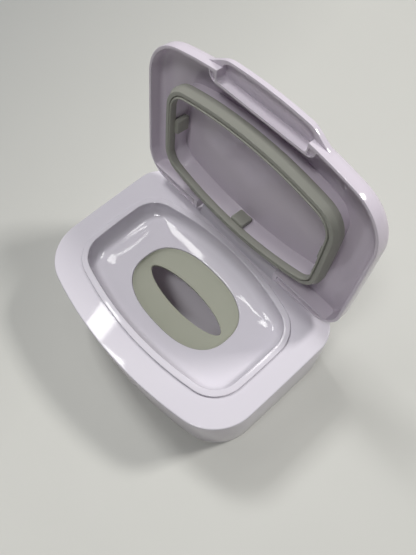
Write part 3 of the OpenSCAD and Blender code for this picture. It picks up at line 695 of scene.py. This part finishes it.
rimLow = rimZ - seal["rimDrop"]
sealLow = rimLow - seal["fit"] - seal["foot"]
sealTop = rimZ + seal["rise"]
wrapTop = sealLow + seal["wrapHigh"]
neckLow = wrapTop + seal["neckStep"]
neckHalf, headHalf = seal["headWidth"] / 2 - seal["neckStep"], seal["headWidth"] / 2


# the dome's height over its shoulder
def rise(x, y):
    return lid["crown"] * (1 - (2 * x / body["width"]) ** 2) * (1 - (2 * y / body["depth"]) ** 2)


def edgeRadius(line):
    toward = np.where(line[:, 3] < 0, lid["frontEdge"], lid["backEdge"])
    return lid["endEdge"] + (toward - lid["endEdge"]) * line[:, 3] ** 2


# rings of the lid's rounded edge and of its dome, at a depth below the outer surface
def edgeRing(depth, angle):
    r = edgeRadius(bodyLine) - depth
    s = lid["inset"] + depth + r * (1 - math.cos(angle))
    x, y = bodyLine[:, 0] - s * bodyLine[:, 2], bodyLine[:, 1] - s * bodyLine[:, 3]
    z = lidTop - depth - r * (1 - math.sin(angle)) + math.sin(angle) * rise(x, y)
    return np.column_stack([x, y, z])


def domeRing(depth, share):
    s = lid["inset"] + edgeRadius(bodyLine)
    x, y = (bodyLine[:, 0] - s * bodyLine[:, 2]) * share, (bodyLine[:, 1] - s * bodyLine[:, 3]) * share
    return np.column_stack([x, y, lidTop - depth + rise(x, y)])


edgeAngles = fan(0, 90, 11)
domeShares = np.linspace(0.9, 0.1, 9)
shellRings = [domeRing(lid["wall"], s) for s in domeShares[::-1]]
shellRings += [edgeRing(lid["wall"], a) for a in edgeAngles[::-1]]
lipZ = lidLow + lid["lip"]
shellRings += roundRings(bodyLine, lid["inset"] + lid["wall"], lipZ, -lid["lip"], -lid["lip"], 3)
shellRings += roundRings(bodyLine, lid["inset"], lipZ, lid["lip"], -lid["lip"], 3)[::-1]
shellRings += [edgeRing(0, a) for a in edgeAngles]
shellRings += [domeRing(0, s) for s in domeShares]
lidPiece = skin("lidShell", shellRings, domed=True)
room = skin("room", [ring(bodyLine, lid["inset"] + lid["wall"] / 2, rimLow)] +
            [edgeRing(lid["wall"] / 2, a) for a in edgeAngles[::2]] +
            [domeRing(lid["wall"] / 2, s) for s in domeShares[::2]], domed=True)


# the lid's front face, and the finger tab that stands out of it
def lidFront(x):
    return body["frontBow"] - body["depth"] / 2 - np.sqrt((body["frontBow"] - lid["inset"]) ** 2 - x * x)


def tabLine(x, inset):
    start = tab["frontLap"] + inset * tab["rootShare"]
    flank = tab["rootWidth"] - tab["tipWidth"]
    way = np.clip((tab["rootWidth"] / 2 - inset - np.abs(x)) * 2 / flank, 0, 1)
    return lidFront(x) + start - (tab["reach"] + start - inset) * way * way * (3 - 2 * way)


def tabRing(inset, z):
    x = np.linspace(-1, 1, tab["count"] + 1) * (tab["rootWidth"] / 2 - inset)
    there = np.column_stack([x, tabLine(x, inset), np.full(len(x), z)])
    root = lidFront(x) + tab["backLap"] + inset * tab["rootShare"]
    return np.vstack([there, np.column_stack([-x, root, np.full(len(x), z)])])


pocketBack = lidFront(0) + tab["pocketDepth"]


# the pocket behind the tab, or the walls round it where it is grown
def pocketPlan(grow):
    w, r = tab["pocketWidth"] / 2 + grow, tab["pocketCorner"] + grow
    cx, cy = tab["pocketWidth"] / 2 - tab["pocketCorner"], pocketBack - tab["pocketCorner"]
    x = w * np.sin(np.linspace(-1, 1, tab["count"] + 1) * math.pi / 2)
    run = tab["frontRun"]
    past = np.clip(np.abs(x) / run - w / run + 1, 0, 1)
    front = tabLine(np.clip(x, run - w, w - run), tab["wall"])
    front = front + tab["frontDeep"] * (1 - np.sqrt(1 - past ** 2))
    plan = np.column_stack([x, lidFront(x) + tab["boxLap"] if grow > 0 else front])
    a = fan(0, 90, 9)
    right = np.column_stack([cx + r * np.cos(a), cy + r * np.sin(a)])
    return np.vstack([plan, right, right[::-1] * [-1, 1]])


# the D-shaped cell at each end of the pocket
def cellPlan(inset, side):
    joint = 0 if inset > 0 else over
    x0, r = tab["pocketWidth"] / 2 + inset, tab["cell"] - 2 * inset
    cy = pocketBack + tab["wall"] - inset - r
    y0 = lidFront(tab["pocketWidth"] / 2 + tab["cell"]) + lid["wall"] - joint
    plan = [(x0 - joint, y0), (x0 + r, y0)]
    plan += [(x0 + r * math.cos(a), cy + r * math.sin(a)) for a in fan(0, 90, 19)]
    plan.append((x0 - joint, cy + r))
    return np.array(plan) * [side, 1]


# four blocks across the seal's rim, which cut the holes for the plugs' necks
def plugBlocks(halfWidth, low, high, out, into):
    made = []
    mid, half, shift = (out + into) / 2, (into - out) / 2, bead["shift"]
    for side in (-1, 1):
        x = side * (sealWidth / 2 - mid)
        made.append(block("cut", (x - half, shift - halfWidth, low), (x + half, shift + halfWidth, high)))
        y = shift + side * (bead["depth"] / 2 - mid)
        made.append(block("cut", (-halfWidth, y - half, low), (halfWidth, y + half, high)))
    return made


# walls inside the lid, all kept to its room
backCorner = cornerCentre(np.array([0, body["depth"] / 2 - body["backBow"]]),
                          body["backBow"] - body["backCorner"],
                          np.array([body["width"] / 2 - body["endBow"], 0]),
                          body["endBow"] - body["backCorner"], -1)
wallY = hingeY - lid["backWallFront"]
wallReach = body["backCorner"] - lid["inset"] - lid["wall"] / 2
wallX = backCorner[0] + math.sqrt(wallReach ** 2 - (wallY - backCorner[1]) ** 2)
lugIn = knuckleHalf + lid["blockGap"]
walls = [block("strip", (-tab["pocketWidth"] / 2, pocketBack, lidLow),
               (tab["pocketWidth"] / 2, pocketBack + tab["wall"], aboveLid))]
for side in (-1, 1):
    walls.append(prism("cell", cellPlan(0, side), lidLow, aboveLid))
    x0, x1 = sorted((side * lugIn, side * wallX))
    walls.append(block("backWall", (x0, wallY, lidLow), (x1, wallY + lid["backWall"], aboveLid)))
    x0, x1 = sorted((side * lugIn, side * (lugIn + lid["lug"])))
    walls.append(block("lug", (x0, wallY, lidLow), (x1, body["depth"] / 2 - lid["inset"], aboveLid)))
sealRim = skin("sealRim", [ring(guideLine, rimOut, rimLow), ring(guideLine, rimOut, aboveLid),
                           ring(guideLine, rimIn, aboveLid), ring(guideLine, rimIn, rimLow)], closed=True)
combine(sealRim, plugBlocks(neckHalf + seal["fit"], neckLow - seal["fit"],
                            neckLow + seal["neckHigh"] + seal["fit"], sealLip, wrapIn), "DIFFERENCE")
combine(sealRim, walls, "UNION")
combine(sealRim, [room], "INTERSECT")

# the tab with its rounded edges, then the pocket, the cells, the notch and the bore
tabLow, tabTop, tabEdge, lowEdge = rimZ + tab["low"], rimZ + tab["top"], tab["edge"], tab["lowEdge"]
tabRings = [tabRing(lowEdge * (1 - math.cos(a)), tabLow + lowEdge - lowEdge * math.sin(a))
            for a in np.radians([90, 60, 30])]
tabRings.append(tabRing(0, tabLow + lowEdge))
tabRings += [tabRing(tabEdge * (1 - math.cos(a)), tabTop - tabEdge * (1 - math.sin(a)))
             for a in fan(0, 90, 9)]
tabBody = skin("tabBody", tabRings)
pocketBox = prism("pocketBox", pocketPlan(tab["wall"]), lidLow, rimZ + tab["roof"] + tab["wall"])
combine(lidPiece, [tabBody, pocketBox, sealRim], "UNION")
cuts = [prism("pocketVoid", pocketPlan(0), lidLow - over, rimZ + tab["roof"]),
        block("notch", (-lugIn, hingeY - lid["notchFront"], rimZ),
              (lugIn, hingeY + lid["notchBack"], aboveLid + over))]
for side in (-1, 1):
    cuts.append(prism("cellVoid", cellPlan(tab["cellWall"], side),
                      lidLow - over, lidLow + tab["cellDepth"]))
cuts.append(hingeBar(lid["pin"], lugIn + knuckle["reach"]))
combine(lidPiece, cuts, "DIFFERENCE")

swing = (Matrix.Translation((0, hingeY * mm, hingeZ * mm)) @
         Matrix.Rotation(math.radians(-hinge["angle"]), 4, "X") @
         Matrix.Translation((0, -hingeY * mm, -hingeZ * mm)))
lidPiece.data.transform(swing)
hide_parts("lid")
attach(lidPiece, "lid")
paint(lidPiece, lidLook)
print("stage: lid", len(lidPiece.data.polygons))

# seal: its section from the outer side over the lid's rim, then the ridge, the groove and the shoulder
grooveShape = [(0.85, 0.9), (0.5, 1), (-0.5, 1), (-0.8, 0.9), (-0.85, 0.15), (-1.15, 0)]
sealEdge, shoulder = seal["foot"] / 2, seal["shoulder"]
hugOut, hugIn = rimOut - seal["fit"], rimIn + seal["fit"]
grooveAt = wrapIn - seal["bead"] - seal["groove"]
sealSection = [(sealOut + seal["sideStep"], rimZ - seal["sideLow"]), (sealOut, rimZ + seal["sideHigh"])]
sealSection += [(sealOut + sealEdge * (1 - math.cos(a)), sealTop - sealEdge * (1 - math.sin(a)))
                for a in fan(0, 90, 6)]
sealSection += [(hugOut - seal["rimEdge"], sealTop), (hugOut, sealTop - seal["rimEdge"]),
                (hugOut, rimLow - seal["fit"]), (hugIn, rimLow - seal["fit"]),
                (hugIn, wrapTop - seal["rimEdge"]), (hugIn + seal["rimEdge"], wrapTop),
                (wrapIn - seal["wrapEdge"], wrapTop), (wrapIn, wrapTop - seal["wrapEdge"])]
for a in fan(0, 180, 9):
    sealSection.append((wrapIn - seal["bead"] / 2 * (1 - math.cos(a)),
                        sealLow + seal["beadSunk"] - (seal["beadHigh"] + seal["beadSunk"]) * math.sin(a)))
sealSection += [(grooveAt + across * seal["groove"], sealLow + deep * seal["grooveDeep"])
                for across, deep in grooveShape]
sealSection += [(sealLip + seal["shoulderRun"] * shoulder * (1 - math.sin(a)),
                 sealLow + shoulder * (1 - math.cos(a))) for a in fan(0, 90, 9)]
sealPiece = sweepRound("softSeal", guideLine, sealSection, sealLook, smoothAngle=softAngle)
plug = block("plug", (-rimIn - seal["headThick"] / 2, -neckHalf, neckLow),
             (seal["thick"] - rimOut, neckHalf, neckLow + seal["neckHigh"]))
head = block("head", (-hugIn - seal["headThick"], -headHalf, wrapTop - seal["neckStep"]),
             (-hugIn, headHalf, wrapTop + seal["headHigh"]))
bevel = head.modifiers.new("edge", "BEVEL")
bevel.width, bevel.segments = seal["headEdge"] * mm, seal["headSteps"]
combine(plug, [settle(head, softAngle)], "UNION")
plugs.apply(sealPiece, {"Plug": plug, "Half width": sealWidth / 2 * mm,
                        "Half depth": bead["depth"] / 2 * mm, "Shift": bead["shift"] * mm,
                        "Material": sealLook}, softAngle)
sealPiece.data.transform(swing)
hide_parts("lid_seal")
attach(sealPiece, "lid")
print("stage: seal")

# feet
rubber = dict(radius=6, proud=0.8, seat=1.4, sunk=0.1, bevel=0.4, fromFace=28.5, fromEnd=32, dish=0.25,
              dishRadius=4.2, dishShare=0.9, dishEdge=0.3, steps=48)
footTop = rubber["proud"] + rubber["seat"] - rubber["sunk"]
footSection = [(0, rubber["dish"]), (rubber["dishRadius"] * rubber["dishShare"], rubber["dish"]),
               (rubber["dishRadius"], rubber["dish"] / 2), (rubber["dishRadius"] + rubber["dishEdge"], 0)]
footSection += [(rubber["radius"] - rubber["bevel"] * (1 - math.sin(a)),
                 rubber["bevel"] * (1 - math.cos(a))) for a in fan(0, 90, 4)]
footSection += [(rubber["radius"], footTop), (0, footTop)]
footSection = [(rubber["radius"] - r, z) for r, z in footSection]
for name, sx, sy in [("foot_front_left", -1, -1), ("foot_front_right", 1, -1),
                     ("foot_back_left", -1, 1), ("foot_back_right", 1, 1)]:
    middle = sx * (body["width"] / 2 - rubber["fromEnd"]), sy * (body["depth"] / 2 - rubber["fromFace"])
    circle = arcPoints(middle, rubber["radius"], 0, 2 * math.pi, rubber["steps"])
    footPiece = sweepRound(name + "_pad", circle, footSection, footLook, closed=False)
    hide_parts(name)
    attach(footPiece, "base")
print("stage: feet")

# the hinge pins keep their own solids
for pinName in ("hinge_pin_left", "hinge_pin_right"):
    paint(frame["nodes"][pinName], steelLook)

# camera: its direction in degrees, and its focal length in pixels of a picture so many pixels high
camera = dict(azimuth=53.2, elevation=64.29, roll=5.72, place=(143.03, -81.46, 420.54), focal=564.18,
              imageHeight=555, sensor=36, near=0.01, far=20)
az, el, roll = (math.radians(camera[k]) for k in ("azimuth", "elevation", "roll"))
back = Vector((math.sin(az) * math.cos(el), -math.cos(az) * math.cos(el), math.sin(el)))
right = (-back).cross(Vector((0, 0, 1))).normalized()
down = (-back).cross(right)
rightRolled = math.cos(roll) * right + math.sin(roll) * down
downRolled = -math.sin(roll) * right + math.cos(roll) * down
lens = bpy.data.cameras.new("camera")
lens.sensor_width = camera["sensor"]
lens.lens = camera["focal"] / camera["imageHeight"] * camera["sensor"]
lens.clip_start, lens.clip_end = camera["near"], camera["far"]
eye = addPiece("camera", lens)
eye.matrix_world = (Matrix.Translation(Vector(camera["place"]) * mm) @
                    Matrix((rightRolled, -downRolled, back)).transposed().to_4x4())
scene.camera = eye

# floor of pale paper, in metres: painted shade darkens it away from the light, and it lies in faint folds
floor = dict(half=4, tintA=(0.53, 0.53, 0.5, 1), tintB=(0.565, 0.565, 0.535, 1), far=(0.3, 0.305, 0.3, 1),
             away=(-2.0, -0.5, 0), start=0.12, most=0.7, rough=0.7, cloud=5, fold=9, foldHigh=0.0016)
corners = [(x * floor["half"], y * floor["half"], 0) for x, y in ((-1, -1), (1, -1), (1, 1), (-1, 1))]
floorMesh = bpy.data.meshes.new("floor")
floorMesh.from_pydata(corners, [], [(0, 1, 2, 3)])
floorPiece = addPiece("floor", floorMesh)
floorLook = Finish("floor")
paper = floorLook.blend(floorLook.noise(floor["cloud"], 3), floor["tintA"], floor["tintB"])
# painted shade: the paper blends to the far tint along this direction
away = floorLook.add("ShaderNodeVectorMath", {"operation": "DOT_PRODUCT"}, "Value",
                     i0=floorLook.place(), i1=floor["away"])
shade = (away - floor["start"]).clamped(0, floor["most"])
floorLook.finish(Normal=floorLook.bump(floorLook.noise(floor["fold"], 2) * floor["foldHigh"]),
                 Base_Color=floorLook.blend(shade, paper, floor["far"]), Roughness=floor["rough"])
paint(floorPiece, floorLook.material)

# a dim sky, which only the camera sees brighter
sky = dict(color=(0.93, 0.95, 1.0, 1), strength=0.075, seen=0.45)
world = bpy.data.worlds.new("world")
scene.world = world
world.use_nodes = True
skyLook = Tree(world.node_tree)
seen = skyLook.add("ShaderNodeLightPath", output="Is Camera Ray")
skyLook.fill(world.node_tree.nodes["Background"],
             dict(Color=sky["color"], Strength=seen * sky["seen"] + sky["strength"]))

# lamps, in metres and watts; the small windows are what the gloss mirrors
aim = Vector((0, 0, 0.06))
warm, white, day = (1, 0.985, 0.96), (1, 1, 1), (1, 1, 0.97)
lights = [
    dict(name="key", place=(1.38, 2.58, 3.09), size=(0.6, 0.6), energy=94, color=warm, mirrored=True),
    dict(name="fill", place=(-2.25, 0.48, 3.57), size=(0.84, 0.84), energy=74, color=white, mirrored=False),
    dict(name="ceiling", place=(0.36, -1.35, 4.02), size=(0.8, 0.8), energy=47, color=white, mirrored=True),
    dict(name="windowLow", place=(-0.684, -0.03, 1.51), size=(0.26, 0.085), energy=0.75,
         color=day, mirrored=True),
    dict(name="windowLong", place=(-0.5, -0.25, 1.51), size=(0.28, 0.11), energy=0.95,
         color=day, mirrored=True),
    dict(name="windowHigh", place=(-0.34, 0.4, 1.51), size=(0.12, 0.18), energy=0.6,
         color=day, mirrored=True),
]
for setting in lights:
    bulb = bpy.data.lights.new(setting["name"], "AREA")
    bulb.shape = "RECTANGLE"
    bulb.size, bulb.size_y = setting["size"]
    bulb.energy = setting["energy"]
    bulb.color = setting["color"]
    lamp = addPiece(setting["name"], bulb)
    lamp.location = setting["place"]
    lamp.rotation_mode = "QUATERNION"
    lamp.rotation_quaternion = (aim - lamp.location).to_track_quat("-Z", "Y")
    lamp.visible_glossy = setting["mirrored"]
print("stage: camera, floor and light")

scene.view_settings.view_transform = "Standard"
